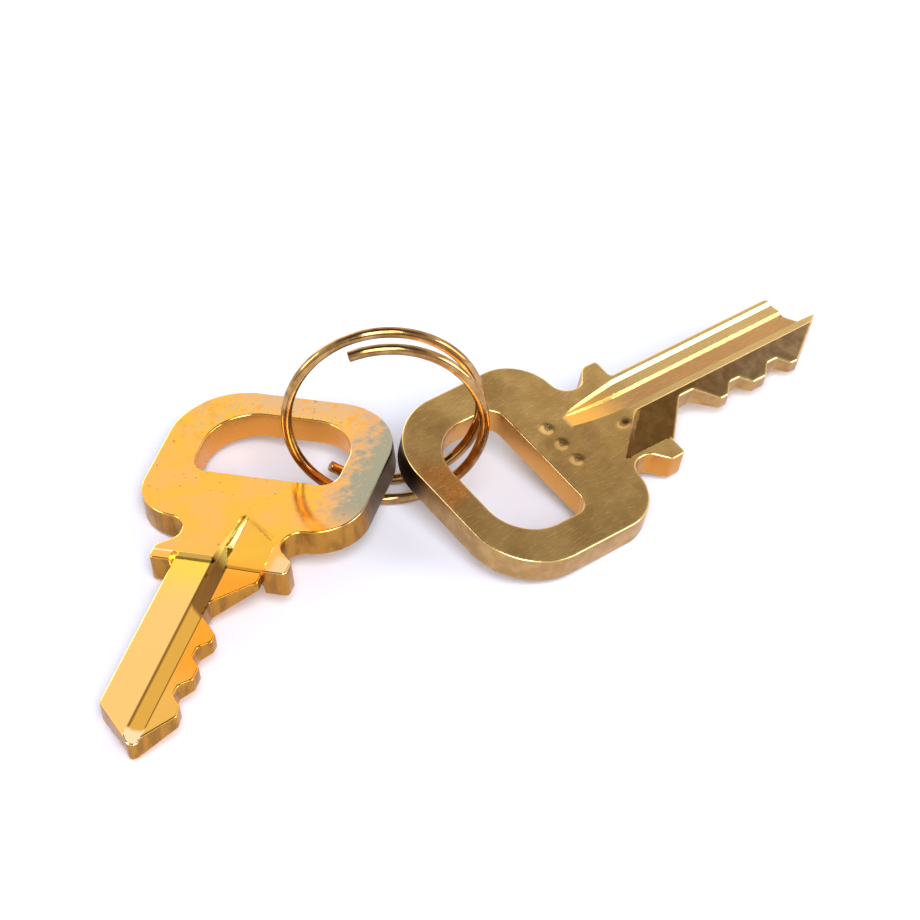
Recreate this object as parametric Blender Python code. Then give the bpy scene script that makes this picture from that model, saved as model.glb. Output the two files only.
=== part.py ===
"""Two small brass padlock keys on an open wire ring, lying as they were dropped on a table.

Metres, +Z up, +X to the right. The table is the plane z = 0 and the middle of the footprint is the
world's origin. Each key is one stamped and milled brass plate; the ring is one length of round wire.
"""
import bpy
import bmesh
from math import cos, pi, radians, sin, sqrt, tan
from mathutils import Matrix, Vector

MM = 0.001

# Key blank, in the key's own plane: x runs from the bow to the tip, y from the cuts to the spine.
THICKNESS = 2.0 * MM
HEAD_X = -6.18 * MM
SHOULDER_X = 6.66 * MM
BOW_HALF_WIDTH = 7.96 * MM
HEAD_RADIUS = 4.9 * MM
SHOULDER_RADIUS = 3.4 * MM
HOLE_HEAD_X = -4.0 * MM
HOLE_BLADE_X = 2.28 * MM
HOLE_HALF_WIDTH = 5.2 * MM
HOLE_HEAD_RADIUS = 3.33 * MM
HOLE_BLADE_RADIUS = 1.23 * MM
NECK_START_X = 7.2 * MM
NECK_END_X = 8.9 * MM
NECK_HALF_WIDTH = 3.6 * MM
NECK_START_RADIUS = 1.2 * MM
NECK_END_RADIUS = 0.9 * MM
STOP_START_X = 10.0 * MM
STOP_X = 11.25 * MM
STOP_HALF_WIDTH = 4.85 * MM
STOP_START_RADIUS = 0.45 * MM
STOP_RADIUS = 0.3 * MM
SPINE_ROOT_RADIUS = 0.25 * MM
SPINE_Y = 3.25 * MM
BLANK_EDGE_Y = -3.1 * MM

# Cuts along the lower edge: middle of the floor, floor height, floor width.
CUTS = (
    (15.1 * MM, -0.6 * MM, 1.3 * MM),
    (19.1 * MM, -1.3 * MM, 0.9 * MM),
    (22.7 * MM, -1.3 * MM, 0.9 * MM),
)
CUT_TOP_Y = -2.05 * MM
CUT_ROUNDING = 0.35 * MM
RAMP_START_X = 24.9 * MM
TIP_X = 28.3 * MM
TIP_Y = 0.1 * MM
TIP_RADIUS = 0.15 * MM

# Corners between the spine and the tip: a plain taper on the left key, a blunt end on the right key.
LEFT_TIP = [(24.6 * MM, SPINE_Y, 0.3 * MM)]
RIGHT_TIP = [
    (26.0 * MM, SPINE_Y, 0.3 * MM),
    (26.4 * MM, 1.5 * MM, 0.3 * MM),
    (27.1 * MM, 0.5 * MM, 0.2 * MM),
]
ARC_STEP = radians(13.0)
SMOOTH_BELOW = radians(30.0)
SHARP_BELOW = 0.02 * MM
WELD = 0.001 * MM

# Milling. A groove's sides are given as (y at the face, y at its floor), the lower side first.
STEP_SIDES = ((0.38 * MM, 0.42 * MM), (2.88 * MM, 2.72 * MM))
STEP_DEPTH = 0.22 * MM
STEP_END_X = 9.2 * MM
BAND_SIDES = ((0.38 * MM, 0.45 * MM), (2.09 * MM, 1.74 * MM))
BAND_DEPTH = 0.45 * MM
BAND_END_X = 10.7 * MM
MARKED_FLANK_Y = -0.08 * MM
MARKED_FLANK_DROP = 0.08 * MM
MARKED_FLANK_SLOPE = radians(15.0)
MARKED_FLANK_ENDS = (10.6 * MM, 7.6 * MM)
FLAT_EDGE_Y = 0.62 * MM
FLAT_END_X = 10.4 * MM
FLAT_DEPTH = 0.35 * MM
CHANNEL_SIDES = ((-0.65 * MM, -0.45 * MM), (0.56 * MM, 0.28 * MM))
CHANNEL_DEPTH = 0.62 * MM
CHANNEL_END_X = 11.8 * MM
PLAIN_FLANK_Y = -0.6 * MM
PLAIN_FLANK_DROP = 0.28 * MM
PLAIN_FLANK_SLOPE = radians(2.5)
PLAIN_FLANK_ENDS = (6.2 * MM, 8.2 * MM)
FLANK_LOW_Y = -3.25 * MM
CUTTER_RADIUS = 20.0 * MM
RUN_OUT_STEPS = 8
PAST_THE_FACE = 1.15
CLEAR = 1.0 * MM

# Wire ring: an open coil whose two cut ends overlap by more than half a turn.
RING_RADIUS = 6.58 * MM
WIRE_RADIUS = 0.37 * MM
RING_PITCH = 2.07 * MM
RING_SPREAD = 0.12 * MM
RING_START = radians(111.0)
RING_END = radians(-484.5)
RING_STEP = radians(7.5)
RING_MIDDLE = Vector((-5.08, -3.64, 0.0)) * MM
RING_TURN = radians(3.5)
RING_LEAN = radians(3.5)

# How each key lies: place of its own origin, heading, and lean about the line it rests on.
LEFT_KEY_AT = Vector((-12.59, -3.16, 0.0)) * MM
LEFT_KEY_HEADING = radians(-107.0)
LEFT_KEY_LEAN = radians(6.5)
LEFT_KEY_REST_LINE = Vector((18.5, 4.4, 0.0)).normalized()
RIGHT_KEY_AT = Vector((3.65, -5.01, 0.0)) * MM
RIGHT_KEY_HEADING = radians(40.2)
RIGHT_KEY_LEAN = radians(12.0)
RIGHT_KEY_REST_LINE = Vector((20.0, 4.9, 0.0)).normalized()

FOOTPRINT_SHIFT = Vector((-1.15, 7.91, 0.0)) * MM

# A point on each key's joint axis: the left key goes round the ring, the right key swings on the wire.
LEFT_JOINT_AT = Vector((-6.23, 4.27, 6.939)) * MM
RIGHT_JOINT_AT = Vector((-0.952, 3.527, 2.916)) * MM
JOINT_MARK_SIZE = 1.0 * MM


def clear_scene():
    for old in list(bpy.data.objects):
        bpy.data.objects.remove(old, do_unlink=True)


def make_collection(name):
    group = bpy.data.collections.new(name)
    bpy.context.scene.collection.children.link(group)
    return group


def brass(name, color, roughness):
    material = bpy.data.materials.new(name)
    material.use_nodes = True
    shader = material.node_tree.nodes["Principled BSDF"]
    shader.inputs["Base Color"].default_value = (*color, 1.0)
    shader.inputs["Metallic"].default_value = 1.0
    shader.inputs["Roughness"].default_value = roughness
    return material


def rounded(corners):
    """Points of a closed outline whose corners (x, y, radius) are rounded with arcs."""
    points = []
    count = len(corners)
    for index, (x, y, radius) in enumerate(corners):
        here = Vector((x, y))
        back = (Vector(corners[index - 1][:2]) - here).normalized()
        ahead = (Vector(corners[(index + 1) % count][:2]) - here).normalized()
        half = back.angle(ahead) / 2
        if radius < SHARP_BELOW:
            points.append(here)
            continue
        centre = here + (back + ahead).normalized() * radius / sin(half)
        first = here + back * radius / tan(half) - centre
        turn = first.angle_signed(here + ahead * radius / tan(half) - centre)
        steps = max(2, round(abs(turn) / ARC_STEP))
        for step in range(steps + 1):
            points.append(centre + Matrix.Rotation(-turn * step / steps, 2) @ first)
    return points


def key_corners(tip_corners):
    """Corners of the key's outer outline, round from the head along the spine to the tip and back."""
    side = [
        (HEAD_X, BOW_HALF_WIDTH, HEAD_RADIUS),
        (SHOULDER_X, BOW_HALF_WIDTH, SHOULDER_RADIUS),
        (NECK_START_X, NECK_HALF_WIDTH, NECK_START_RADIUS),
        (NECK_END_X, NECK_HALF_WIDTH, NECK_END_RADIUS),
        (STOP_START_X, STOP_HALF_WIDTH, STOP_START_RADIUS),
        (STOP_X, STOP_HALF_WIDTH, STOP_RADIUS),
    ]
    spine = [(STOP_X, SPINE_Y, SPINE_ROOT_RADIUS)]
    cuts = [(TIP_X, TIP_Y, TIP_RADIUS), (RAMP_START_X, CUT_TOP_Y, CUT_ROUNDING)]
    for middle, floor, width in reversed(CUTS):
        rise = floor - CUT_TOP_Y
        cuts.append((middle + width / 2 + rise, CUT_TOP_Y, CUT_ROUNDING))
        cuts.append((middle + width / 2, floor, CUT_ROUNDING))
        cuts.append((middle - width / 2, floor, CUT_ROUNDING))
        if middle != CUTS[0][0]:
            cuts.append((middle - width / 2 - rise, CUT_TOP_Y, CUT_ROUNDING))
    middle, floor, width = CUTS[0]
    cuts.append((middle - width / 2 - (floor - BLANK_EDGE_Y), BLANK_EDGE_Y, CUT_ROUNDING))
    cuts.append((STOP_X, BLANK_EDGE_Y, 0.0))
    below = [(x, -y, radius) for x, y, radius in reversed(side)]
    return side + spine + tip_corners + cuts + below


def flat_plate(name, outlines, thickness):
    """A flat plate between z = -thickness / 2 and thickness / 2, with the later outlines as holes."""
    data = bpy.data.curves.new(name, "CURVE")
    data.dimensions = "2D"
    data.fill_mode = "BOTH"
    data.extrude = thickness / 2
    for outline in outlines:
        spline = data.splines.new("POLY")
        spline.points.add(len(outline) - 1)
        for point, place in zip(spline.points, outline):
            point.co = (place.x, place.y, 0.0, 1.0)
        spline.use_cyclic_u = True
    return data


def as_mesh(name, data, group):
    """The curve's solid as a mesh object with welded caps, in the given collection."""
    shape = bpy.data.objects.new(name + "_curve", data)
    bpy.context.scene.collection.objects.link(shape)
    bpy.context.view_layer.update()
    seen = shape.evaluated_get(bpy.context.evaluated_depsgraph_get())
    mesh = bpy.data.meshes.new_from_object(seen)
    mesh.name = name
    work = bmesh.new()
    work.from_mesh(mesh)
    bmesh.ops.remove_doubles(work, verts=work.verts, dist=WELD)
    bmesh.ops.recalc_face_normals(work, faces=work.faces)
    work.to_mesh(mesh)
    work.free()
    mesh.shade_smooth()
    mesh.set_sharp_from_angle(angle=SMOOTH_BELOW)
    bpy.data.objects.remove(shape, do_unlink=True)
    result = bpy.data.objects.new(name, mesh)
    group.objects.link(result)
    return result


def cutter_box(name, low, high, group):
    """A box from low to high, as a cutter."""
    work = bmesh.new()
    bmesh.ops.create_cube(work, size=1.0)
    size = high - low
    for vert in work.verts:
        vert.co = low + Vector([(vert.co[k] + 0.5) * size[k] for k in range(3)])
    mesh = bpy.data.meshes.new(name)
    work.to_mesh(mesh)
    work.free()
    box = bpy.data.objects.new(name, mesh)
    group.objects.link(box)
    return box


def groove_cutter(name, sides, depth, end_x, group):
    """A channel cut from the +Z face, which runs out towards the bow on a cutter's arc."""
    (low_mouth, low_floor), (high_mouth, high_floor) = sides
    top = THICKNESS / 2
    lid = top + CLEAR
    run_out = sqrt(2 * CUTTER_RADIUS * depth) * PAST_THE_FACE
    work = bmesh.new()
    rings = []
    for step in range(-1, RUN_OUT_STEPS + 1):
        along = run_out * max(step, 0) / RUN_OUT_STEPS
        x = TIP_X + CLEAR if step < 0 else end_x - along
        bottom = top - depth + CUTTER_RADIUS - sqrt(CUTTER_RADIUS ** 2 - along ** 2)
        flare = (lid - bottom) / depth
        low = low_floor - (low_floor - low_mouth) * flare
        high = high_floor + (high_mouth - high_floor) * flare
        ring = [(low_floor, bottom), (high_floor, bottom), (high, lid), (low, lid)]
        rings.append([work.verts.new((x, side, z)) for side, z in ring])
    for near, far in zip(rings, rings[1:]):
        for k in range(4):
            work.faces.new((near[k], near[(k + 1) % 4], far[(k + 1) % 4], far[k]))
    work.faces.new(rings[0])
    work.faces.new(rings[-1])
    bmesh.ops.recalc_face_normals(work, faces=work.faces)
    mesh = bpy.data.meshes.new(name)
    work.to_mesh(mesh)
    work.free()
    cutter = bpy.data.objects.new(name, mesh)
    group.objects.link(cutter)
    return cutter


def flank_cutter(name, edge_y, drop, slope, top_end, low_end, group):
    """The sloping cut that thins the blade from edge_y down to the cuts, with a slanted inner end."""
    reach = edge_y - FLANK_LOW_Y
    tip = TIP_X + CLEAR
    outline = [
        Vector((tip, 0.0)),
        Vector((top_end, 0.0)),
        Vector((low_end, -reach)),
        Vector((tip, -reach)),
    ]
    cutter = as_mesh(name, flat_plate(name, [outline], 4 * CLEAR), group)
    lift = Matrix.Translation((0.0, edge_y, THICKNESS / 2 - drop))
    tilt = Matrix.Rotation(slope, 4, "X")
    raise_up = Matrix.Translation((0.0, 0.0, 2 * CLEAR))
    cutter.data.transform(lift @ tilt @ raise_up)
    return cutter


def turn_over(cutter):
    """Moves a cutter made for the +Z face to the -Z face, mirrored across the key's plane."""
    for vert in cutter.data.vertices:
        vert.co.z = -vert.co.z
    cutter.data.flip_normals()
    return cutter


def blade_cutters(group):
    """Everything milled out of a blade: the marked side's cutters, then the plain side's."""
    marked = [
        groove_cutter("step_cutter", STEP_SIDES, STEP_DEPTH, STEP_END_X, group),
        groove_cutter("band_cutter", BAND_SIDES, BAND_DEPTH, BAND_END_X, group),
        flank_cutter("marked_flank_cutter", MARKED_FLANK_Y, MARKED_FLANK_DROP, MARKED_FLANK_SLOPE,
                     *MARKED_FLANK_ENDS, group),
    ]
    flat_low = Vector((FLAT_END_X, FLAT_EDGE_Y, THICKNESS / 2 - FLAT_DEPTH))
    flat_high = Vector((TIP_X + CLEAR, STOP_HALF_WIDTH + CLEAR, THICKNESS / 2 + CLEAR))
    plain = [
        cutter_box("flat_cutter", flat_low, flat_high, group),
        groove_cutter("channel_cutter", CHANNEL_SIDES, CHANNEL_DEPTH, CHANNEL_END_X, group),
        flank_cutter("plain_flank_cutter", PLAIN_FLANK_Y, PLAIN_FLANK_DROP, PLAIN_FLANK_SLOPE,
                     *PLAIN_FLANK_ENDS, group),
    ]
    cutters = marked + [turn_over(cutter) for cutter in plain]
    for cutter in cutters:
        cutter.hide_render = True
        cutter.display_type = "WIRE"
    return cutters


def make_key(name, tip_corners, material, group, tools):
    """One key: the stamped plate with its hole, and its milling as Booleans that move with it."""
    outer = rounded(key_corners(tip_corners))
    hole = rounded([
        (HOLE_HEAD_X, -HOLE_HALF_WIDTH, HOLE_HEAD_RADIUS),
        (HOLE_BLADE_X, -HOLE_HALF_WIDTH, HOLE_BLADE_RADIUS),
        (HOLE_BLADE_X, HOLE_HALF_WIDTH, HOLE_BLADE_RADIUS),
        (HOLE_HEAD_X, HOLE_HALF_WIDTH, HOLE_HEAD_RADIUS),
    ])
    key = as_mesh(name, flat_plate(name, [outer, hole], THICKNESS), group)
    for cutter in blade_cutters(tools):
        cutter.parent = key
        cut = key.modifiers.new(cutter.name, "BOOLEAN")
        cut.operation = "DIFFERENCE"
        cut.object = cutter
    key.data.materials.append(material)
    return key


def ring_axes():
    """The ring's own axes: across, up in its plane, and its normal, which faces the front."""
    normal = Vector((sin(RING_TURN) * cos(RING_LEAN), -cos(RING_TURN) * cos(RING_LEAN), sin(RING_LEAN)))
    across = Vector((cos(RING_TURN), sin(RING_TURN), 0.0))
    return across, normal.cross(across), normal


def ring_point(angle):
    """A point on the wire's centre line, before the ring is set down on the table."""
    across, up, normal = ring_axes()
    turns = (angle + pi) / (2 * pi)
    radius = RING_RADIUS + RING_SPREAD * turns
    return RING_MIDDLE + (across * cos(angle) + up * sin(angle)) * radius + normal * RING_PITCH * turns


def ring_height():
    """How far up the ring's middle is when its lowest point touches the table."""
    steps = round((RING_START - RING_END) / RING_STEP)
    lowest = min(ring_point(RING_START - RING_STEP * step).z for step in range(steps + 1))
    return WIRE_RADIUS - lowest


def make_ring(name, material, group):
    """The ring: a coil of round wire with square-cut ends."""
    steps = round((RING_START - RING_END) / RING_STEP)
    data = bpy.data.curves.new(name, "CURVE")
    data.dimensions = "3D"
    data.bevel_depth = WIRE_RADIUS
    data.bevel_resolution = 2
    data.use_fill_caps = True
    spline = data.splines.new("POLY")
    spline.points.add(steps)
    lift = Vector((0.0, 0.0, ring_height()))
    for step, point in enumerate(spline.points):
        point.co = (*(ring_point(RING_START - RING_STEP * step) + lift), 1.0)
    ring = as_mesh(name, data, group)
    ring.data.materials.append(material)
    return ring


def lay_down(key, place, heading, lean, rest_line, turned_over):
    """Turns the key to its heading and its lean, then sets its lowest corner on the table."""
    over = Matrix.Rotation(pi if turned_over else 0.0, 4, "X")
    turned = Matrix.Rotation(heading, 4, "Z")
    axis = turned @ rest_line
    pose = Matrix.Rotation(lean, 4, axis) @ turned @ over
    bpy.context.view_layer.update()
    finished = key.evaluated_get(bpy.context.evaluated_depsgraph_get())
    lowest = min((pose @ vert.co).z for vert in finished.data.vertices)
    key.matrix_world = Matrix.Translation(place - Vector((0.0, 0.0, lowest))) @ pose


def hang_on_joint(key, place, group):
    """Puts the key under an empty on its joint's axis, without moving it."""
    joint = bpy.data.objects.new(key.name + "_joint", None)
    joint.empty_display_size = JOINT_MARK_SIZE
    joint.location = place
    group.objects.link(joint)
    key.parent = joint
    key.matrix_parent_inverse = Matrix.Translation(-place)


def build():
    clear_scene()
    parts = make_collection("keys_on_ring")
    tools = make_collection("cutters")
    golden = brass("golden_brass", (0.83, 0.53, 0.19), 0.28)
    olive = brass("olive_brass", (0.45, 0.32, 0.13), 0.32)
    wire = brass("wire_brass", (0.52, 0.34, 0.14), 0.25)
    left = make_key("left_key", LEFT_TIP, golden, parts, tools)
    right = make_key("right_key", RIGHT_TIP, olive, parts, tools)
    make_ring("key_ring", wire, parts)
    lay_down(left, LEFT_KEY_AT, LEFT_KEY_HEADING, LEFT_KEY_LEAN, LEFT_KEY_REST_LINE, True)
    lay_down(right, RIGHT_KEY_AT, RIGHT_KEY_HEADING, RIGHT_KEY_LEAN, RIGHT_KEY_REST_LINE, False)
    for piece in parts.objects:
        piece.location += FOOTPRINT_SHIFT
    hang_on_joint(left, LEFT_JOINT_AT, parts)
    hang_on_joint(right, RIGHT_JOINT_AT, parts)


build()
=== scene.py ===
from math import cos, pi, radians, sin, tan

import bpy
import numpy as np
from mathutils import Matrix, Vector
from mathutils.geometry import delaunay_2d_cdt


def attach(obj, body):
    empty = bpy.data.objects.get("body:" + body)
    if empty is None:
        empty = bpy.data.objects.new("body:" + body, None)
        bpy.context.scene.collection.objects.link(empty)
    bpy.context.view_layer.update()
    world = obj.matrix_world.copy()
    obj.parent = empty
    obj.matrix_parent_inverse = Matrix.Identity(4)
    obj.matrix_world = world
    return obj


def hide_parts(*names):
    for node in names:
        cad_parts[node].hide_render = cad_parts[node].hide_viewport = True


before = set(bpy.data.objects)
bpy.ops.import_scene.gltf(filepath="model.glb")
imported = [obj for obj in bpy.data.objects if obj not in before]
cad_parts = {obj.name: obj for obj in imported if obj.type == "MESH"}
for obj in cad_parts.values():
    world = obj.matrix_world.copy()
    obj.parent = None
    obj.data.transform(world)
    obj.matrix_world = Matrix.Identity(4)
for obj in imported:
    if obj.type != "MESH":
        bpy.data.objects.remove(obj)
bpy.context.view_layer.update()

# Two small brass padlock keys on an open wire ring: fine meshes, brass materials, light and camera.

MM = 0.001

# ---- the key blank, in millimetres: x to the tip, y to the spine, z to the marked side ----
THICKNESS = 2.0
HEAD_X, SHOULDER_X = -6.18, 6.66
BOW_HALF_WIDTH = 7.96
HEAD_RADIUS, SHOULDER_RADIUS = 4.9, 3.4
HOLE_HEAD_X, HOLE_BLADE_X = -4.0, 2.28
HOLE_HALF_WIDTH = 5.2
HOLE_HEAD_RADIUS, HOLE_BLADE_RADIUS = 3.33, 1.23
NECK_START_X, NECK_END_X, NECK_HALF_WIDTH = 7.2, 8.9, 3.6
STOP_START_X, STOP_X, STOP_HALF_WIDTH = 10.0, 11.25, 4.85
SPINE_Y = 3.25
BLANK_EDGE_Y = -3.1
CUTS = ((15.1, -0.6, 1.3), (19.1, -1.3, 0.9), (22.7, -1.3, 0.9))
CUT_TOP_Y = -2.05
CUT_ROUNDING = 0.35
LEFT_TIP = ((24.6, SPINE_Y, 0.3), (27.95, -0.1, 0.5), (24.9, -2.2, CUT_ROUNDING))
RIGHT_TIP = ((26.0, SPINE_Y, 0.4), (26.4, 1.5, 0.3), (27.1, 0.5, 0.3), (28.3, 0.36, 0.08),
             (24.5, -2.1, CUT_ROUNDING))

# ---- milling ----
MILL_START_X = 5.8
MILL_FULL_X = 11.0
STEP_DEPTH = 0.22
BAND_DEPTH = 0.45
MARKED_FLANK = (-0.08, 0.05, 0.27)
PLAIN_FLAT_X = 10.4
PLAIN_FLAT_DEPTH = 0.35
CHANNEL_START_X = 6.1
CHANNEL_DEPTH = 0.62
CHANNEL_WHEEL = 70.0
CHANNEL_SPINE_WALL = 1.1
STAMP_X = 4.15
STAMP_ROWS = (-1.5, 0.1, 1.7)
STAMP_RINGS = (0.12, 0.2, 0.28, 0.36, 0.44, 0.52)
PLAIN_FLANK = (0.14, 0.03)
PLAIN_FLANK_Y = -0.5
PLAIN_DEEPER = 0.16
PLAIN_DEEPER_X, PLAIN_DEEPER_RUN = 10.95, 0.08
FLANK_LOW_Y = -3.22
PLAIN_FLAT_RUN = 0.06
PLAIN_FLAT_LOW_Y, PLAIN_FLAT_HIGH_Y = 0.3, 3.4
MARKED_FLANK_X, MARKED_FLANK_SLANT, MARKED_FLANK_ACROSS = 10.7, 1.12, 0.67
MARKED_FLANK_RUN, PLAIN_FLANK_RUN = 0.35, 0.25
PLAIN_FLANK_X, PLAIN_FLANK_ALONG, PLAIN_FLANK_ACROSS = 6.1, 0.8, 0.6
DIMPLE_X, DIMPLE_Y, DIMPLE_DEPTH = 9.2, -0.62, 0.12
DIMPLE_LENGTH, DIMPLE_WIDTH = 0.34, 0.24
STAMP_DEPTH, STAMP_WALL = 0.1, 0.3
WAVE_LENGTHS = (9.0, 6.0, 4.0, 2.6, 1.7)
WAVE_STEEPNESS = 0.00022
LEFT_SEED, RIGHT_SEED = 11, 23

# ---- mesh fineness ----
EDGE_ROUND = 0.11
ROUND_STEPS = (0.0, 22.5, 45.0, 67.5, 90.0)
OUTLINE_STEP = 0.12
BOW_GRID = 0.2
BLADE_GRID = 0.12
CREASE = radians(26.0)
FEATURE_STEP = 0.1
CROSS_STEP = 0.08
FEATURE_GAP = 0.05
MERGE_CELL = 0.034
CHUNK = 2000

# ---- the ring ----
RING_RADIUS, WIRE_RADIUS = 6.58, 0.37
RING_PITCH, RING_SPREAD = 2.07, 0.12
RING_START, RING_END = radians(111.0), radians(-484.5)
RING_MIDDLE = Vector((-5.08, -3.64, 0.0))
RING_TURN = RING_LEAN = radians(3.5)
RING_STEPS, WIRE_SIDES = 460, 24
WIRE_BLUNT = 0.06

# ---- how the pieces lie ----
FOOTPRINT_SHIFT = Vector((-1.15, 7.91, 0.0))
LEFT_KEY = {"at": Vector((-12.59, -3.16, 0.0)), "heading": radians(-107.0), "lean": radians(6.5),
            "rest_line": Vector((18.5, 4.4, 0.0)).normalized(), "over": True}
RIGHT_KEY = {"at": Vector((3.65, -5.01, 0.0)), "heading": radians(40.2), "lean": radians(12.0),
             "rest_line": Vector((20.0, 4.9, 0.0)).normalized(), "over": False}

# ---- the studio: brightness by the sine of the height above the floor, and by how far back it is ----
SKY_BY_HEIGHT = ((-1.0, 1.0), (0.67, 1.0), (0.73, 0.62), (0.78, 0.36), (0.86, 0.2), (1.0, 0.14))
SKY_BY_DEPTH = ((-1.0, 0.55), (-0.3, 0.65), (0.2, 1.0), (1.0, 1.0))
SKY_BRIGHTNESS = 1.08

# ---- the camera: in front and above, aimed at the footprint's shift ----
CAMERA_ELEVATION = radians(40.887)
CAMERA_ROLL = radians(0.504)
CAMERA_DISTANCE = 0.286
CAMERA_LENS = 162.8


# ---- shape of the key ----

def rounded(corners):
    """Points along a closed outline whose corners (x, y, radius) are rounded, about a step apart."""
    sparse = []
    count = len(corners)
    for index, (x, y, radius) in enumerate(corners):
        here = Vector((x, y))
        back = (Vector(corners[index - 1][:2]) - here).normalized()
        ahead = (Vector(corners[(index + 1) % count][:2]) - here).normalized()
        half = back.angle(ahead) / 2
        if radius < 0.02:
            sparse.append(here)
            continue
        centre = here + (back + ahead).normalized() * radius / sin(half)
        first = here + back * radius / tan(half) - centre
        turn = first.angle_signed(here + ahead * radius / tan(half) - centre)
        steps = max(3, int(abs(turn) * radius / OUTLINE_STEP) + 1)
        for step in range(steps + 1):
            sparse.append(centre + Matrix.Rotation(-turn * step / steps, 2) @ first)
    points = []
    for here, there in zip(sparse, sparse[1:] + sparse[:1]):
        parts = max(1, int((there - here).length / OUTLINE_STEP + 0.5))
        points += [here.lerp(there, part / parts)[:] for part in range(parts)]
    return np.array(points)


def key_corners(tip):
    """Corners of the outer outline: head, spine, tip, cuts and back."""
    side = [(HEAD_X, BOW_HALF_WIDTH, HEAD_RADIUS), (SHOULDER_X, BOW_HALF_WIDTH, SHOULDER_RADIUS),
            (NECK_START_X, NECK_HALF_WIDTH, 1.2), (NECK_END_X, NECK_HALF_WIDTH, 0.9),
            (STOP_START_X, STOP_HALF_WIDTH, 0.45), (STOP_X, STOP_HALF_WIDTH, 0.3)]
    corners = side + [(STOP_X, SPINE_Y, 0.25)] + list(tip)
    for middle, floor, width in reversed(CUTS):
        rise = floor - CUT_TOP_Y
        corners.append((middle + width / 2 + rise, CUT_TOP_Y, CUT_ROUNDING))
        corners.append((middle + width / 2, floor, CUT_ROUNDING))
        corners.append((middle - width / 2, floor, CUT_ROUNDING))
        if middle != CUTS[0][0]:
            corners.append((middle - width / 2 - rise, CUT_TOP_Y, CUT_ROUNDING))
    middle, floor, width = CUTS[0]
    corners.append((middle - width / 2 - (floor - BLANK_EDGE_Y), BLANK_EDGE_Y, CUT_ROUNDING))
    corners.append((STOP_X, BLANK_EDGE_Y, 0.0))
    return corners + [(x, -y, radius) for x, y, radius in reversed(side)]


def hole_corners():
    """Corners of the bow's D-shaped hole."""
    return [(HOLE_HEAD_X, -HOLE_HALF_WIDTH, HOLE_HEAD_RADIUS),
            (HOLE_BLADE_X, -HOLE_HALF_WIDTH, HOLE_BLADE_RADIUS),
            (HOLE_BLADE_X, HOLE_HALF_WIDTH, HOLE_BLADE_RADIUS),
            (HOLE_HEAD_X, HOLE_HALF_WIDTH, HOLE_HEAD_RADIUS)]


def run_in(x, start, full):
    """How far the milling has come in, from 0 at its start to 1 at full depth."""
    return np.clip((x - start) / (full - start), 0.0, 1.0)


def band_edges(x):
    """The four long edges of the marked side's stepped channel, from the spine's side down."""
    t = run_in(x, MILL_START_X, MILL_FULL_X)
    top = 2.0 + 0.88 * t ** 0.7
    step_low = 2.0 - 0.08 * t
    band_top = 2.0 - 0.26 * t ** 0.6
    low = 0.38 + 0.62 * (1 - t) ** 1.9
    return t, top, step_low, band_top, low


def ramp(value):
    """The value held between 0 and 1."""
    return np.clip(value, 0.0, 1.0)


def marked_depth(x, y):
    """How far the marked side is milled below the blank's face."""
    t, top, step_low, band_top, low = band_edges(x)
    sunk = 1 - (1 - t) ** 2
    step = STEP_DEPTH * sunk
    band = BAND_DEPTH * sunk
    first_wall = 0.05 + 0.16 * sunk
    depth = step * ramp((top - y) / first_wall)
    depth = depth + (band - step) * ramp((step_low - y) / np.maximum(step_low - band_top, 0.02))
    depth = depth * ramp((y - low) / (0.03 + 0.05 * sunk))
    depth = np.where(x > MILL_START_X, depth, 0.0)
    edge, drop, slope = MARKED_FLANK
    past = (x - (MARKED_FLANK_X + MARKED_FLANK_SLANT * np.minimum(y, 0.0))) * MARKED_FLANK_ACROSS
    flank = drop + slope * np.maximum(edge - y, 0.0)
    flank = flank * ramp(past / MARKED_FLANK_RUN) * (y < edge) * (y > FLANK_LOW_Y)
    away = ((x - DIMPLE_X) / DIMPLE_LENGTH) ** 2 + ((y - DIMPLE_Y) / DIMPLE_WIDTH) ** 2
    dimple = DIMPLE_DEPTH * np.exp(-away)
    return np.maximum(depth, flank) + dimple


def channel_edges(x):
    """Depth of the plain side's channel, its spine-side and cut-side edges, and the cut-side wall's slope."""
    full = CHANNEL_START_X + (2 * CHANNEL_WHEEL * CHANNEL_DEPTH) ** 0.5
    short = np.maximum(full - x, 0.0)
    sunk = np.maximum(CHANNEL_DEPTH - short ** 2 / (2 * CHANNEL_WHEEL), 0.0)
    share = sunk / CHANNEL_DEPTH
    return sunk, -0.3 + 1.2 * share ** 0.6, -0.48 - 0.17 * share, 0.4 + 2.6 * ramp((x - 9.0) / 3.5)


def plain_depth(x, y):
    """How far the plain side is milled below the blank's face."""
    t = run_in(x, PLAIN_FLAT_X, PLAIN_FLAT_X + PLAIN_FLAT_RUN)
    flat = PLAIN_FLAT_DEPTH * t * ramp((y - PLAIN_FLAT_LOW_Y) / 0.05) * ramp((PLAIN_FLAT_HIGH_Y - y) / 0.05)
    sunk, top, low, cut_wall = channel_edges(x)
    channel = np.minimum(sunk, np.minimum((top - y) * CHANNEL_SPINE_WALL, (y - low) * cut_wall))
    channel = np.maximum(channel, 0.0)
    drop, slope = PLAIN_FLANK
    past = (x - PLAIN_FLANK_X) * PLAIN_FLANK_ALONG + (y - PLAIN_FLANK_Y) * PLAIN_FLANK_ACROSS
    deeper = PLAIN_DEEPER * ramp((x - PLAIN_DEEPER_X) / PLAIN_DEEPER_RUN)
    below = (y < PLAIN_FLANK_Y) * (y > FLANK_LOW_Y)
    flank = drop * sunk / CHANNEL_DEPTH + slope * np.maximum(PLAIN_FLANK_Y - y, 0.0) + deeper
    flank = flank * ramp(past / PLAIN_FLANK_RUN) * below
    end = 0.5 * ramp((x - 27.0) / 0.9) * (y > -0.7)
    return np.maximum(np.maximum(np.maximum(flat, channel), flank), end)


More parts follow.
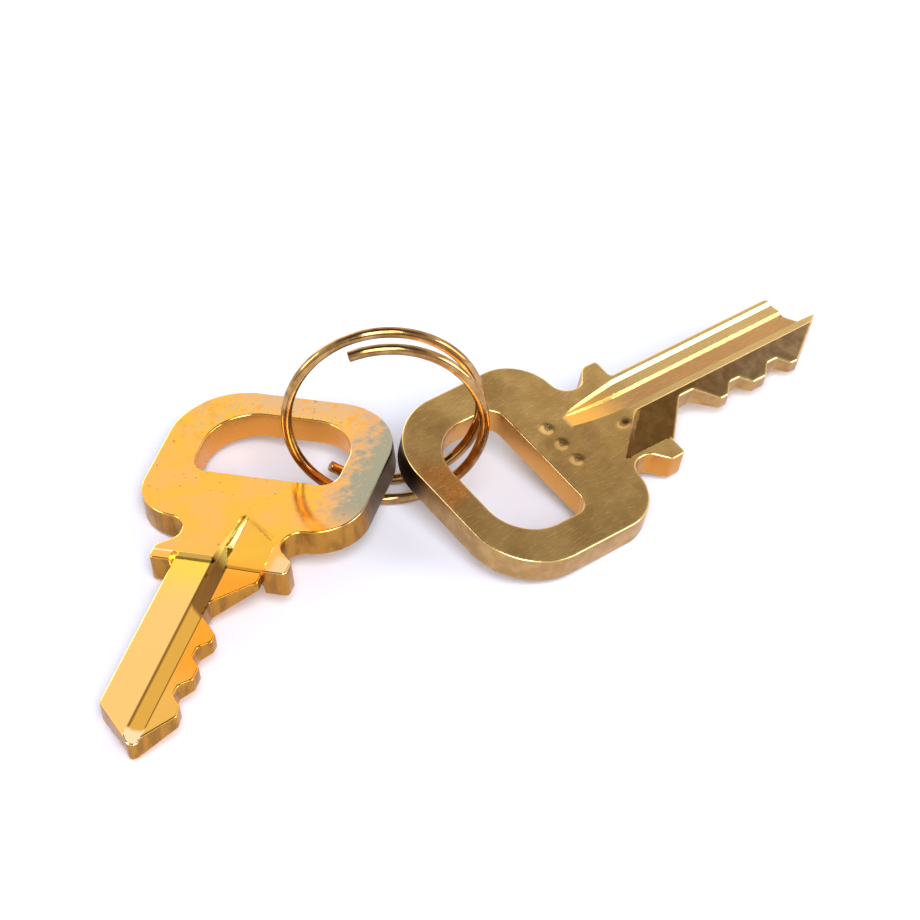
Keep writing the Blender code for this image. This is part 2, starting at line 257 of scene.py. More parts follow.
def stamp_depth(x, y):
    """Three plain round punch marks in a row across the bow."""
    depth = np.zeros_like(x)
    for middle in STAMP_ROWS:
        away = np.hypot(x - STAMP_X, y - middle)
        depth = depth + STAMP_DEPTH * ramp((STAMP_RINGS[-1] - away) / STAMP_WALL) ** 1.5
    return depth


def waves(x, y, seed):
    """Slow unevenness of a stamped and tumbled face, in millimetres."""
    random = np.random.default_rng(seed)
    height = np.zeros_like(x)
    for size in WAVE_LENGTHS:
        angle, shift = random.uniform(0, 2 * pi, 2)
        height = height + size * np.sin((x * cos(angle) + y * sin(angle)) * 2 * pi / size + shift)
    return height * WAVE_STEEPNESS


def key_surface(tip, stamped, seed):
    """Vertices, faces and the values that the materials read at each vertex, for one whole key."""
    loops = [rounded(key_corners(tip)), rounded(hole_corners())]
    rims = [rim_rings(loop) for loop in loops]
    plan, faces = fill_plan([rim[-1] for rim in rims])
    reach = edge_distance(plan, loops)
    vertices, polygons = [], []
    values = {"rim_distance": [], "milled": [], "wall": []}

    def add(points, side, drop, away, wall):
        start = len(vertices)
        x, y = points[:, 0], points[:, 1]
        milled = marked_depth(x, y) if side > 0 else plain_depth(x, y)
        marks = stamp_depth(x, y) if stamped and side > 0 else 0.0
        heights = side * (THICKNESS / 2 - drop - milled - marks + waves(x, y, seed + side))
        vertices.extend(zip(x, y, heights))
        values["rim_distance"].extend(away)
        values["milled"].extend(milled)
        values["wall"].extend([wall] * len(points))
        return start

    offsets = {}
    for side in (1, -1):
        start = add(plan, side, 0.0, reach, 0.0)
        polygons.extend([[start + v for v in (face if side > 0 else face[::-1])] for face in faces])
        inner = 0
        for number, rim in enumerate(rims):
            count = len(rim[0])
            previous = [start + inner + k for k in range(count)]
            inner += count
            for level in range(len(rim) - 2, -1, -1):
                angle = radians(ROUND_STEPS[level])
                drop = EDGE_ROUND * (1 - sin(angle))
                ring = add(rim[level], side, drop, np.zeros(count), 1.0 - 0.5 * min(level, 2))
                current = [ring + k for k in range(count)]
                polygons.extend(strip(previous, current, side > 0))
                previous = current
            offsets[side, number] = previous
    for number in range(len(loops)):
        polygons.extend(strip(offsets[1, number], offsets[-1, number], True))
    return np.array(vertices), polygons, values


def rim_rings(loop):
    """The outline, then copies of it moved inwards, down the rounded edge to the flat face."""
    ahead = np.roll(loop, -1, 0) - loop
    ahead /= np.linalg.norm(ahead, axis=1)[:, None]
    normal = np.stack([ahead[:, 1], -ahead[:, 0]], 1)
    mean = normal + np.roll(normal, 1, 0)
    mean /= np.maximum((mean ** 2).sum(1, keepdims=True) / 2, 0.6)
    return [loop + mean * EDGE_ROUND * (1 - cos(radians(angle))) for angle in ROUND_STEPS]


def strip(outer, inner, flip):
    """Quads between two closed rows of the same count."""
    count = len(outer)
    quads = []
    for k in range(count):
        after = (k + 1) % count
        quad = [outer[k], outer[after], inner[after], inner[k]]
        quads.append(quad[::-1] if flip else quad)
    return quads


def inside(points, loop):
    """Which points lie within a closed outline, by the even-odd rule."""
    result = np.zeros(len(points), bool)
    x, y = points[:, 0], points[:, 1]
    for (x0, y0), (x1, y1) in zip(loop, np.roll(loop, -1, 0)):
        if y0 == y1:
            continue
        crossing = (y0 > y) != (y1 > y)
        result ^= crossing & (x < (x1 - x0) * (y - y0) / (y1 - y0) + x0)
    return result


def edge_distance(points, loops):
    """Each point's distance from the nearest outline point."""
    outline = np.vstack(loops)
    result = np.empty(len(points))
    for start in range(0, len(points), CHUNK):
        part = points[start:start + CHUNK]
        result[start:start + CHUNK] = np.sqrt(((part[:, None] - outline[None]) ** 2).sum(2)).min(1)
    return result


def grid_points(low, high, pitch):
    """A staggered grid over a rectangle."""
    rows = []
    for number, y in enumerate(np.arange(low[1], high[1], pitch * 0.87)):
        xs = np.arange(low[0] + (number % 2) * pitch / 2, high[0], pitch)
        rows.append(np.stack([xs, np.full(len(xs), y)], 1))
    return np.vstack(rows)


def row(xs, ys):
    """Points from two coordinates, either of which may be one number."""
    return np.stack(np.broadcast_arrays(np.asarray(xs, float), np.asarray(ys, float)), 1)


def feature_points():
    """Rows of points along both faces' milled edges, so that the creases are crisp."""
    xs = np.arange(MILL_START_X + 0.02, 28.4, FEATURE_STEP)
    t, top, step_low, band_top, low = band_edges(xs)
    sunk = 1 - (1 - t) ** 2
    depth, channel_top, channel_low, cut_wall = channel_edges(xs)
    deeper = PLAIN_DEEPER * ramp((xs - PLAIN_DEEPER_X) / PLAIN_DEEPER_RUN)
    flank = PLAIN_FLANK[0] * depth / CHANNEL_DEPTH + deeper
    rows = [row(xs, np.minimum(channel_low + flank / cut_wall, PLAIN_FLANK_Y))]
    for y in (top, top - 0.05 - 0.16 * sunk, step_low, band_top, low + 0.03 + 0.05 * sunk, low):
        rows.append(row(xs, y))
    rows += [row(xs, y) for y in (MARKED_FLANK[0], MARKED_FLANK[0] - 0.04, PLAIN_FLANK_Y, PLAIN_FLANK_Y - 0.03)]
    bottom = (CHANNEL_SPINE_WALL * channel_top + cut_wall * channel_low) / (CHANNEL_SPINE_WALL + cut_wall)
    begun = xs > CHANNEL_START_X + 0.1
    for y in (channel_top, channel_top - depth / CHANNEL_SPINE_WALL,
              channel_low, channel_low + depth / cut_wall, bottom):
        rows.append(row(xs, y)[begun])
    rows.append(row(xs, channel_top - PLAIN_FLAT_DEPTH / CHANNEL_SPINE_WALL)[xs > PLAIN_FLAT_X])
    for x in (PLAIN_FLAT_X, PLAIN_FLAT_X + PLAIN_FLAT_RUN):
        rows.append(row(x, np.arange(PLAIN_FLAT_LOW_Y, PLAIN_FLAT_HIGH_Y + 0.01, CROSS_STEP)))
    for y in (PLAIN_FLAT_HIGH_Y - 0.05, PLAIN_FLAT_HIGH_Y):
        rows.append(row(np.arange(PLAIN_FLAT_X, STOP_X, CROSS_STEP), y))
    for x in (PLAIN_DEEPER_X, PLAIN_DEEPER_X + PLAIN_DEEPER_RUN):
        rows.append(row(x, np.arange(-3.2, PLAIN_FLANK_Y, CROSS_STEP)))
    ys = np.arange(FLANK_LOW_Y, PLAIN_FLANK_Y, CROSS_STEP)
    across = (ys - PLAIN_FLANK_Y) * PLAIN_FLANK_ACROSS
    for past in (0.0, PLAIN_FLANK_RUN):
        rows.append(row(PLAIN_FLANK_X + (past - across) / PLAIN_FLANK_ALONG, ys))
    ys = np.arange(FLANK_LOW_Y, MARKED_FLANK[0], CROSS_STEP)
    for past in (0.0, MARKED_FLANK_RUN):
        rows.append(row(MARKED_FLANK_X + MARKED_FLANK_SLANT * ys + past / MARKED_FLANK_ACROSS, ys))
    turn = np.linspace(0, 2 * pi, 48, endpoint=False)
    for y in STAMP_ROWS:
        for radius in STAMP_RINGS:
            rows.append(row(STAMP_X + radius * np.cos(turn), y + radius * np.sin(turn)))
    return np.vstack(rows)


def fill_plan(loops):
    """Triangles over the flat part of the face, between the rims' inner rows."""
    outer = loops[0]
    grid = np.vstack([grid_points((-7, -9), (11.3, 9), BOW_GRID), grid_points((5.5, -5), (29, 4), BLADE_GRID)])
    feature = feature_points()
    shared = (grid[:, 0] > 5.5) & (grid[:, 0] < 11.3) & (np.abs(grid[:, 1]) < 5)
    grid = grid[~(shared & (np.arange(len(grid)) % 2 == 0))]
    grid = grid[edge_distance(grid, [feature]) > FEATURE_GAP]
    points = np.vstack([feature, grid])
    cell = np.round(points / MERGE_CELL).astype(int)
    _, first = np.unique(cell[:, 0] * 100003 + cell[:, 1], return_index=True)
    points = points[np.sort(first)]
    points = points[inside(points, outer)]
    for loop in loops[1:]:
        points = points[~inside(points, loop)]
    points = points[edge_distance(points, loops) > FEATURE_GAP]
    fixed = np.vstack(loops)
    edges = []
    start = 0
    for loop in loops:
        count = len(loop)
        edges += [(start + k, start + (k + 1) % count) for k in range(count)]
        start += count
    everything = np.vstack([fixed, points])
    made, _, triangles, origin, _, _ = delaunay_2d_cdt([Vector(p) for p in everything], edges, [], 0, 1e-6)
    made = np.array([v[:] for v in made])
    order = {}
    for index, sources in enumerate(origin):
        for source in sources:
            order[source] = index
    first = [order[k] for k in range(len(fixed))]
    rest = sorted(set(range(len(made))) - set(first))
    rank = {old: new for new, old in enumerate(first + rest)}
    plan = made[first + rest]
    faces = np.array([[rank[v] for v in triangle] for triangle in triangles])
    middle = plan[faces].mean(1)
    wanted = inside(middle, outer)
    for loop in loops[1:]:
        wanted &= ~inside(middle, loop)
    faces = faces[wanted]
    a, b, c = (plan[faces[:, k]] for k in range(3))
    area = (b[:, 0] - a[:, 0]) * (c[:, 1] - a[:, 1]) - (b[:, 1] - a[:, 1]) * (c[:, 0] - a[:, 0])
    faces = np.where((area < 0)[:, None], faces[:, ::-1], faces)
    return plan, [list(map(int, face)) for face in faces]


def mesh_object(name, vertices, faces, material, node):
    """A smooth-shaded mesh that stands for its CAD node."""
    mesh = bpy.data.meshes.new(name)
    mesh.from_pydata([tuple(v) for v in vertices], [], faces)
    mesh.validate()
    mesh.shade_smooth()
    mesh.set_sharp_from_angle(angle=CREASE)
    mesh.materials.append(material)
    piece = bpy.data.objects.new(name, mesh)
    bpy.context.scene.collection.objects.link(piece)
    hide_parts(node)
    return piece


def make_key(name, tip, stamped, seed, lying, material, body, node):
    """One whole key, laid where its CAD node lies, with the values that its material reads."""
    places, faces, values = key_surface(tip, stamped, seed)
    over = Matrix.Rotation(pi if lying["over"] else 0.0, 3, "X")
    turned = Matrix.Rotation(lying["heading"], 3, "Z")
    pose = Matrix.Rotation(lying["lean"], 3, turned @ lying["rest_line"]) @ turned @ over
    vertices = places @ np.array(pose).T + np.array(lying["at"] + FOOTPRINT_SHIFT)
    vertices[:, 2] -= vertices[:, 2].min()
    key = mesh_object(name, vertices * MM, faces, material, node)
    attributes = key.data.attributes
    place = attributes.new("place", "FLOAT_VECTOR", "POINT")
    place.data.foreach_set("vector", places.astype(np.float32).ravel())
    for label, numbers in values.items():
        attributes.new(label, "FLOAT", "POINT").data.foreach_set("value", np.array(numbers, np.float32))
    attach(key, body)


# ---- shape of the ring ----

def ring_surface():
    """Round wire swept along the coil, with slightly blunted square-cut ends."""
    normal = Vector((sin(RING_TURN) * cos(RING_LEAN), -cos(RING_TURN) * cos(RING_LEAN), sin(RING_LEAN)))
    across = Vector((cos(RING_TURN), sin(RING_TURN), 0.0))
    up = normal.cross(across)
    across, up, normal = (np.array(v) for v in (across, up, normal))

    def centre(angle):
        turns = (angle + pi) / (2 * pi)
        out = across * cos(angle) + up * sin(angle)
        return out * (RING_RADIUS + RING_SPREAD * turns) + normal * RING_PITCH * turns

    angles = np.linspace(RING_START, RING_END, RING_STEPS)
    middle = np.array([centre(angle) for angle in angles])
    middle += np.array(RING_MIDDLE + FOOTPRINT_SHIFT)
    middle[:, 2] += WIRE_RADIUS - middle[:, 2].min()
    along = np.gradient(middle, axis=0)
    along /= np.linalg.norm(along, axis=1)[:, None]
    out = np.array([across * cos(angle) + up * sin(angle) for angle in angles])
    out -= along * (out * along).sum(1)[:, None]
    out /= np.linalg.norm(out, axis=1)[:, None]
    side = np.cross(along, out)
    vertices, faces = [], []
    end = RING_STEPS - 1
    hoops = [(0, 0.0, WIRE_RADIUS - WIRE_BLUNT), (0, 0.02, WIRE_RADIUS - 0.02)]
    hoops += [(k, WIRE_BLUNT if k == 0 else 0.0, WIRE_RADIUS) for k in range(end)]
    hoops += [(end, -WIRE_BLUNT, WIRE_RADIUS), (end, -0.02, WIRE_RADIUS - 0.02),
              (end, 0.0, WIRE_RADIUS - WIRE_BLUNT)]
    for k, shift, radius in hoops:
        for corner in range(WIRE_SIDES):
            angle = 2 * pi * corner / WIRE_SIDES
            around = (out[k] * cos(angle) + side[k] * sin(angle)) * radius
            vertices.append(middle[k] + along[k] * shift + around)
    last = (len(hoops) - 1) * WIRE_SIDES
    for base in range(0, last, WIRE_SIDES):
        for corner in range(WIRE_SIDES):
            after = (corner + 1) % WIRE_SIDES
            faces.append([base + corner, base + after, base + WIRE_SIDES + after, base + WIRE_SIDES + corner])
    faces.append(list(reversed(range(WIRE_SIDES))))
    faces.append([last + corner for corner in range(WIRE_SIDES)])
    return np.array(vertices), faces


# ---- materials ----

class Nodes:
    """A short way to add and join shader nodes in one material."""

    def __init__(self, name):
        self.material = bpy.data.materials.new(name)
        self.material.use_nodes = True
        self.tree = self.material.node_tree
        self.shader = self.tree.nodes["Principled BSDF"]
        self.shader.inputs["Metallic"].default_value = 1.0

    def add(self, kind, inputs=None, **settings):
        node = self.tree.nodes.new("ShaderNode" + kind)
        for key, value in settings.items():
            setattr(node, key, value)
        for key, value in (inputs or {}).items():
            self.put(node.inputs[key], value)
        return node

    def put(self, socket, value):
        if isinstance(value, bpy.types.NodeSocket):
            self.tree.links.new(value, socket)
        else:
            socket.default_value = value

    def math(self, operation, first, second=0.0):
        node = self.add("Math", operation=operation)
        self.put(node.inputs[0], first)
        self.put(node.inputs[1], second)
        return node.outputs[0]

    def all(self, *shares):
        """The product of several shares."""
        result = shares[0]
        for share in shares[1:]:
            result = self.math("MULTIPLY", result, share)
        return result

    def mix(self, share, first, second):
        node = self.add("Mix", data_type="RGBA")
        self.put(node.inputs[0], share)
        self.put(node.inputs[6], first)
        self.put(node.inputs[7], second)
        return node.outputs[2]

    def noise(self, where, scale, detail=3.0, stretch=None, turn=0.0):
        if stretch:
            mapping = self.add("Mapping", {"Vector": where})
            mapping.inputs["Rotation"].default_value = (0.0, 0.0, turn)
            mapping.inputs["Scale"].default_value = stretch
            where = mapping.outputs[0]
        node = self.add("TexNoise", {"Vector": where, "Scale": scale, "Detail": detail})
        return node.outputs["Fac"]

    def between(self, value, low, high):
        """0 below low and 1 above high, or the other way round when low is the larger."""
        inputs = {"Value": value, "From Min": low, "From Max": high}
        return self.add("MapRange", inputs, interpolation_type="SMOOTHSTEP").outputs[0]

    def bump(self, strength, distance, height):
        return self.add("Bump", {"Strength": strength, "Distance": distance, "Height": height}).outputs[0]


def rgb(red, green, blue):
    """A colour given as screen values from 0 to 255, as the linear colour that shaders take."""
    def linear(value):
        value /= 255
        return value / 12.92 if value <= 0.04045 else ((value + 0.055) / 1.055) ** 2.4
    return (linear(red), linear(green), linear(blue), 1.0)


def millimetres(nodes):
    """Place in the object's own coordinates, in millimetres."""
    place = nodes.add("TexCoord").outputs["Object"]
    scaled = nodes.add("Mapping", {"Vector": place})
    scaled.inputs["Scale"].default_value = (1000.0, 1000.0, 1000.0)
    return scaled.outputs[0]


def key_values(nodes):
    """Place on the key in millimetres, its x, y and z, and the other values stored on the key's surface."""
    where = nodes.add("Attribute", attribute_name="place").outputs["Vector"]
    axes = nodes.add("SeparateXYZ", {"Vector": where}).outputs
    labels = ("rim_distance", "milled", "wall")
    return [where, *axes, *(nodes.add("Attribute", attribute_name=label).outputs["Fac"] for label in labels)]


def inside_hole(nodes, x, y):
    """1 on and within the bow's hole, 0 outside it."""
    return nodes.all(nodes.between(x, 2.6, 2.4), nodes.between(x, -4.3, -4.1),
                     nodes.between(y, 5.5, 5.3), nodes.between(y, -5.5, -5.3))


def golden_brass():
    """Bright, warm brass with heat tint on the bow and greyer oxide along its rim on the ring's side."""
    nodes = Nodes("golden_brass")
    where, x, y, z, _, milled, wall = key_values(nodes)
    patches = nodes.noise(where, 0.4, 4.0)
    small = nodes.noise(where, 1.5, 5.0)
    fine = nodes.noise(where, 5.0, 4.0)
    streaks = nodes.noise(where, 1.3, 4.0, (0.5, 3.2, 1.0), 0.55)
    colour = nodes.mix(nodes.between(patches, 0.4, 0.6), rgb(255, 188, 72), rgb(253, 186, 96))
    pale = nodes.all(nodes.between(streaks, 0.5, 0.66), nodes.between(x, 2.0, -3.5))
    colour = nodes.mix(nodes.math("MULTIPLY", pale, 0.75), colour, rgb(214, 184, 136))
    head = nodes.all(nodes.between(x, -3.4, -5.4), nodes.between(y, 5.5, 2.0))
    colour = nodes.mix(nodes.math("MULTIPLY", head, 0.8), colour, rgb(226, 184, 140))
    orange = nodes.all(nodes.between(small, 0.52, 0.64), nodes.between(x, 3.0, -2.0))
    colour = nodes.mix(nodes.math("MULTIPLY", orange, 0.7), colour, rgb(255, 170, 62))
    bow = nodes.between(x, 7.0, 3.5)
    reach = nodes.math("ADD", y, nodes.math("MULTIPLY", nodes.math("SUBTRACT", small, 0.5), 5.0))
    pink = nodes.all(bow, nodes.between(reach, -4.4, -5.6))
    colour = nodes.mix(nodes.math("MULTIPLY", pink, 0.8), colour, rgb(226, 176, 130))
    grey = nodes.all(bow, nodes.between(reach, -5.3, -6.9))
    colour = nodes.mix(nodes.math("MULTIPLY", grey, 0.94), colour, rgb(170, 170, 146))
    worn = nodes.all(nodes.between(fine, 0.6, 0.68), grey)
    colour = nodes.mix(nodes.math("MULTIPLY", worn, 0.8), colour, rgb(240, 172, 84))
    spots = nodes.all(nodes.between(nodes.noise(where, 2.6, 5.0), 0.66, 0.72), nodes.between(x, 8.0, 4.0))
    colour = nodes.mix(nodes.math("MULTIPLY", spots, 0.6), colour, rgb(176, 128, 66))
    colour = golden_blade(nodes, colour, x, y, z, milled)
    uneven = nodes.noise(where, 1.4, 5.0, (1.0, 1.0, 0.4))
    side = nodes.mix(nodes.between(uneven, 0.42, 0.62), rgb(186, 132, 58), rgb(158, 112, 54))
    dark = nodes.all(nodes.between(y, -5.8, -7.4), nodes.between(x, 4.5, 2.5))
    side = nodes.mix(dark, side, rgb(112, 98, 80))
    # Painted reflection: the hole's walls are painted a warmer orange for light bounced off the brass around
    # them.
    side = nodes.mix(inside_hole(nodes, x, y), side, rgb(228, 158, 72))
    colour = nodes.mix(nodes.between(wall, 0.35, 0.9), colour, side)
    grain = nodes.noise(where, 5.0, 4.0, (0.5, 9.0, 1.0), 0.35)
    finish = nodes.math("ADD", nodes.math("MULTIPLY", grain, 0.1), nodes.math("MULTIPLY", wall, 0.2))
    finish = nodes.math("ADD", finish, nodes.math("MULTIPLY", grey, 0.16))
    nodes.put(nodes.shader.inputs["Base Color"], colour)
    nodes.put(nodes.shader.inputs["Roughness"], nodes.math("ADD", finish, 0.04))
    nodes.put(nodes.shader.inputs["Normal"], nodes.bump(0.08, 0.00002, grain))
    return nodes.material


def golden_blade(nodes, colour, x, y, z, milled):
    """The plain side's milled flank with its own tint, and painted sheen, highlights, reflections and shade on
    the milled flat, its start, the channel and the stop.
    """
    plain = nodes.between(z, 0.0, -0.1)
    along = nodes.math("ADD", x, nodes.math("MULTIPLY", y, 0.9))
    # Painted sheen: the milled flat is painted a brighter yellow than the face, brightest near its start.
    flat = nodes.all(plain, nodes.between(milled, 0.1, 0.14), nodes.between(y, 0.56, 0.6))
    flat_sheen = nodes.mix(nodes.between(x, 10.5, 15.5), rgb(255, 214, 82), rgb(255, 200, 118))
    colour = nodes.mix(flat, colour, flat_sheen)
    # Painted highlight: a near-white line along the low wall where the flat starts.
    lip = nodes.all(plain, nodes.between(x, 10.37, 10.39), nodes.between(x, 10.52, 10.49),
                    nodes.between(y, 0.3, 0.4))
    colour = nodes.mix(lip, colour, rgb(255, 236, 200))
    flank = nodes.all(plain, nodes.between(milled, 0.02, 0.08),
                      nodes.between(y, -0.62, -0.7), nodes.between(x, 6.0, 6.4))
    flank_tint = nodes.mix(nodes.between(x, 9.5, 12.5), rgb(255, 192, 70), rgb(255, 166, 50))
    flank_tint = nodes.mix(nodes.between(x, 19.5, 24.0), flank_tint, rgb(246, 186, 88))
    colour = nodes.mix(flank, colour, flank_tint)
    # Painted reflection and highlights in the channel: dark brown up to a line across it, golden beyond, bright
    # yellow at its run-out and pale at its far end.
    channel = nodes.all(plain, nodes.between(milled, 0.05, 0.16),
                        nodes.between(y, -0.68, -0.6), nodes.between(y, 0.72, 0.62))
    channel_light_and_shade = nodes.mix(nodes.between(along, 15.0, 15.5), rgb(138, 94, 42), rgb(224, 168, 70))
    channel_light_and_shade = nodes.mix(nodes.between(along, 11.0, 9.4), channel_light_and_shade, rgb(255, 214, 104))
    channel_light_and_shade = nodes.mix(nodes.between(x, 26.2, 26.6), channel_light_and_shade, rgb(255, 222, 170))
    # Painted shade: darker brown along the channel's corners.
    corners = nodes.math("MAXIMUM", nodes.between(y, 0.46, 0.56), nodes.between(y, -0.42, -0.48))
    corner_shade = nodes.all(corners, nodes.between(x, 10.0, 11.5), nodes.between(x, 26.6, 26.2))
    channel_light_and_shade = nodes.mix(nodes.math("MULTIPLY", corner_shade, 0.85), channel_light_and_shade, rgb(120, 82, 34))
    colour = nodes.mix(channel, colour, channel_light_and_shade)
    # Painted highlight: the stop is painted pale.
    stop = nodes.all(nodes.between(x, 9.4, 10.0), nodes.between(y, -3.5, -3.9))
    return nodes.mix(nodes.math("MULTIPLY", stop, 0.7), colour, rgb(246, 214, 160))


def olive_brass():
    """Duller, darker brass, brushed and finely scratched, browner where it is milled, with painted shade on the
    milled flank and one stretch of wall, and painted reflection in the hole.
    """
    nodes = Nodes("olive_brass")
    where, x, y, z, rim, milled, wall = key_values(nodes)
    patches = nodes.noise(where, 0.35, 4.0)
    small = nodes.noise(where, 2.2, 5.0)
    colour = nodes.mix(nodes.between(patches, 0.38, 0.62), rgb(238, 192, 116), rgb(216, 170, 98))
    smudge = nodes.between(nodes.noise(where, 0.5, 4.0), 0.42, 0.72)
    colour = nodes.mix(nodes.math("MULTIPLY", smudge, 0.5), colour, rgb(172, 126, 70))
    low = nodes.all(nodes.between(y, -1.5, -6.5), nodes.between(x, 9.0, 5.0))
    colour = nodes.mix(nodes.math("MULTIPLY", low, 0.4), colour, rgb(178, 140, 82))
    head = nodes.all(nodes.between(x, 2.0, -4.0), nodes.between(y, 7.5, 3.0), nodes.between(y, -6.5, -2.0))
    colour = nodes.mix(nodes.math("MULTIPLY", head, 0.45), colour, rgb(168, 118, 70))
    blade = nodes.between(x, 10.0, 13.0)
    colour = nodes.mix(nodes.math("MULTIPLY", blade, 0.8), colour, rgb(255, 214, 140))
    marked = nodes.between(z, 0.0, 0.1)
    band = nodes.all(marked, nodes.between(milled, 0.3, 0.4),
                     nodes.between(y, 0.3, 0.36), nodes.between(y, 1.8, 1.72))
    colour = nodes.mix(nodes.math("MULTIPLY", band, nodes.between(x, 8.0, 12.0)), colour, rgb(236, 178, 112))
    start = nodes.all(marked, nodes.between(milled, 0.01, 0.03),
                      nodes.between(x, 11.5, 7.0), nodes.between(y, 0.2, 0.4))
    colour = nodes.mix(start, colour, rgb(255, 184, 84))
    # Painted shade: the marked side's milled flank is painted dark brown, lighter towards the tip, with
    # speckle.
    flank = nodes.all(marked, nodes.between(milled, 0.01, 0.06), nodes.between(y, -0.08, -0.12))
    speckle = nodes.between(nodes.noise(where, 1.1, 4.0), 0.35, 0.7)
    near = nodes.mix(speckle, rgb(138, 98, 48), rgb(158, 114, 60))
    far = nodes.mix(speckle, rgb(158, 122, 84), rgb(190, 156, 110))
    colour = nodes.mix(flank, colour, nodes.mix(nodes.between(x, 13.0, 23.0), near, far))
    brushed = nodes.noise(where, 4.0, 5.0, (0.35, 11.0, 1.0), -0.5)
    crossed = nodes.noise(where, 3.2, 3.0, (0.28, 18.0, 1.0), 0.75)
    other = nodes.noise(where, 3.0, 3.0, (0.25, 20.0, 1.0), 2.2)
    marks = nodes.math("MAXIMUM", nodes.between(crossed, 0.62, 0.72), nodes.between(other, 0.64, 0.74))
    marks = nodes.math("MULTIPLY", marks, nodes.math("SUBTRACT", 1.0, nodes.math("MULTIPLY", flank, 0.8)))
    colour = nodes.mix(nodes.math("MULTIPLY", marks, 0.5), colour, rgb(255, 236, 190))
    worn = nodes.between(rim, 0.28, 0.0)
    colour = nodes.mix(nodes.math("MULTIPLY", worn, 0.5), colour, rgb(255, 222, 150))
    uneven = nodes.noise(where, 1.2, 5.0)
    side = nodes.mix(nodes.between(uneven, 0.3, 0.7), rgb(192, 154, 102), rgb(168, 130, 80))
    # Painted shade: this stretch of the head's wall is painted near black.
    dark = nodes.all(nodes.between(y, 1.6, 3.4), nodes.between(x, 0.0, -2.5))
    side = nodes.mix(dark, side, rgb(52, 28, 12))
    # Painted reflection: the hole's walls are painted a warmer orange for light bounced off the brass around
    # them.
    side = nodes.mix(inside_hole(nodes, x, y), side, rgb(222, 162, 84))
    stop = nodes.all(nodes.between(x, 8.0, 9.0), nodes.between(y, -3.2, -3.5))
    side = nodes.mix(stop, side, rgb(210, 144, 66))
    colour = nodes.mix(nodes.between(wall, 0.35, 0.9), colour, side)
    scratches = nodes.math("ADD", nodes.math("MULTIPLY", brushed, 0.6), nodes.math("MULTIPLY", marks, 0.4))
    finish = nodes.math("ADD", nodes.math("MULTIPLY", scratches, 0.22), nodes.math("MULTIPLY", small, 0.1))
    finish = nodes.math("ADD", finish, nodes.math("MULTIPLY", wall, 0.12))
    nodes.put(nodes.shader.inputs["Base Color"], colour)
    nodes.put(nodes.shader.inputs["Roughness"], nodes.math("ADD", finish, 0.08))
    nodes.put(nodes.shader.inputs["Normal"], nodes.bump(0.16, 0.00003, scratches))
    return nodes.material


def wire_brass():
    """Drawn brass wire, polished, with a faint fine bump and a little tarnish."""
    nodes = Nodes("wire_brass")
    where = millimetres(nodes)
    patches = nodes.noise(where, 0.9, 4.0)
    fine = nodes.noise(where, 9.0, 3.0)
    colour = nodes.mix(nodes.between(patches, 0.35, 0.65), rgb(190, 150, 96), rgb(148, 106, 60))
    nodes.put(nodes.shader.inputs["Base Color"], colour)
    nodes.put(nodes.shader.inputs["Roughness"], nodes.math("ADD", nodes.math("MULTIPLY", patches, 0.12), 0.06))
    nodes.put(nodes.shader.inputs["Normal"], nodes.bump(0.08, 0.00002, fine))
    return nodes.material


def floor_material():
    """Matt, faintly blue white."""
    nodes = Nodes("pale_floor")
    nodes.shader.inputs["Metallic"].default_value = 0.0
    nodes.shader.inputs["Roughness"].default_value = 0.9
    nodes.shader.inputs["Specular IOR Level"].default_value = 0.1
    nodes.shader.inputs["Base Color"].default_value = (0.77, 0.785, 0.87, 1.0)
    return nodes.material


# ---- stage ----

def make_floor():
    mesh = bpy.data.meshes.new("floor")
    mesh.from_pydata([(-3, -3, 0), (3, -3, 0), (3, 3, 0), (-3, 3, 0)], [], [(0, 1, 2, 3)])
    mesh.materials.append(floor_material())
    floor = bpy.data.objects.new("floor", mesh)
    bpy.context.scene.collection.objects.link(floor)


def softbox(name, direction, distance, size, power, colour=(1.0, 1.0, 1.0)):
    """A square area light that looks at the origin from a direction."""
    light = bpy.data.lights.new(name, "AREA")
    light.shape = "SQUARE"
    light.size = size
    light.energy = power
    light.color = colour
    lamp = bpy.data.objects.new(name, light)
    lamp.location = Vector(direction).normalized() * distance
    lamp.rotation_euler = Vector(direction).to_track_quat("Z", "Y").to_euler()
    bpy.context.scene.collection.objects.link(lamp)


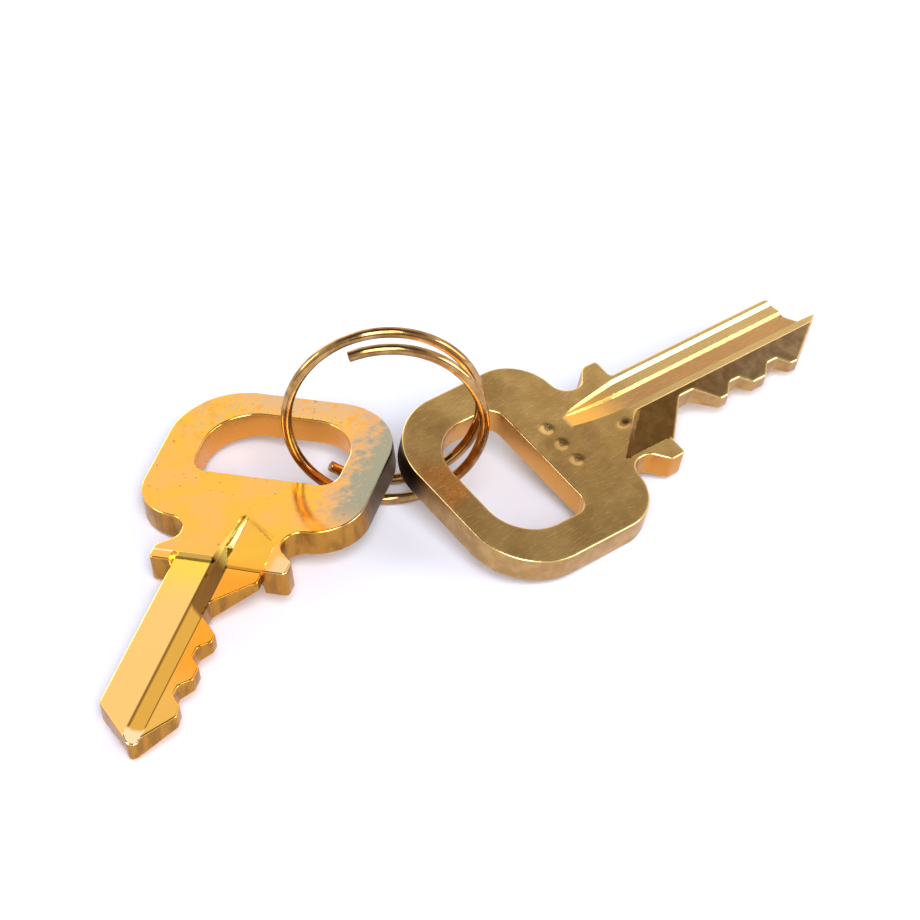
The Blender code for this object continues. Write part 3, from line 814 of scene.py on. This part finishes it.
def make_world():
    """A pale studio: bright low down and behind, dimmer in front and darker overhead."""
    world = bpy.data.worlds.new("studio")
    world.use_nodes = True
    tree = world.node_tree
    place = tree.nodes.new("ShaderNodeTexCoord")
    axes = tree.nodes.new("ShaderNodeSeparateXYZ")
    tree.links.new(place.outputs["Generated"], axes.inputs[0])
    shades = []
    for axis, stops in ((2, SKY_BY_HEIGHT), (1, SKY_BY_DEPTH)):
        spread = tree.nodes.new("ShaderNodeMapRange")
        spread.inputs["From Min"].default_value = -1.0
        tree.links.new(axes.outputs[axis], spread.inputs["Value"])
        shade = tree.nodes.new("ShaderNodeValToRGB")
        tree.links.new(spread.outputs[0], shade.inputs[0])
        while len(shade.color_ramp.elements) < len(stops):
            shade.color_ramp.elements.new(0.5)
        for element, (value, grey) in zip(shade.color_ramp.elements, stops):
            element.position = (value + 1) / 2
            element.color = (grey, grey, min(grey * 1.03, 1.0), 1.0)
        shades.append(shade.outputs[0])
    both = tree.nodes.new("ShaderNodeMix")
    both.data_type = "RGBA"
    both.blend_type = "MULTIPLY"
    both.inputs[0].default_value = 1.0
    tree.links.new(shades[0], both.inputs[6])
    tree.links.new(shades[1], both.inputs[7])
    tree.links.new(both.outputs[2], tree.nodes["Background"].inputs[0])
    tree.nodes["Background"].inputs[1].default_value = SKY_BRIGHTNESS
    bpy.context.scene.world = world


def make_camera():
    """A long lens, level but for a slight roll."""
    ahead = Vector((0.0, cos(CAMERA_ELEVATION), -sin(CAMERA_ELEVATION)))
    right = Vector((1.0, 0.0, 0.0))
    up = right.cross(ahead)
    level = right
    right = level * cos(CAMERA_ROLL) + up * sin(CAMERA_ROLL)
    up = up * cos(CAMERA_ROLL) - level * sin(CAMERA_ROLL)
    camera = bpy.data.objects.new("camera", bpy.data.cameras.new("camera"))
    camera.data.lens = CAMERA_LENS
    camera.data.sensor_width = 36.0
    camera.data.clip_start = 0.01
    turn = Matrix((right, up, -ahead)).transposed().to_4x4()
    camera.matrix_world = Matrix.Translation(FOOTPRINT_SHIFT * MM - ahead * CAMERA_DISTANCE) @ turn
    bpy.context.scene.collection.objects.link(camera)
    bpy.context.scene.camera = camera


def build():
    make_key("left_key_brass", LEFT_TIP, False, LEFT_SEED, LEFT_KEY, golden_brass(),
             "left", "left_key")
    make_key("right_key_brass", RIGHT_TIP, True, RIGHT_SEED, RIGHT_KEY, olive_brass(),
             "right", "right_key")
    vertices, faces = ring_surface()
    ring = mesh_object("key_ring_wire", vertices * MM, faces, wire_brass(), "key_ring")
    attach(ring, "ring")
    make_floor()
    make_world()
    softbox("right_softbox", (0.94, -0.2, 0.34), 0.6, 0.3, 1.8)
    softbox("front_softbox", (0.1, -0.8, 0.6), 0.6, 0.2, 1.0)
    softbox("left_softbox", (-0.94, -0.1, 0.4), 0.6, 0.2, 0.8)
    softbox("low_back_softbox", (-0.47, 0.87, 0.12), 0.6, 0.25, 0.7)
    softbox("top_softbox", (0.1, -0.5, 0.86), 0.9, 0.5, 6.0, (0.94, 0.95, 1.0))
    make_camera()
    bpy.context.scene.view_settings.view_transform = "Standard"


build()
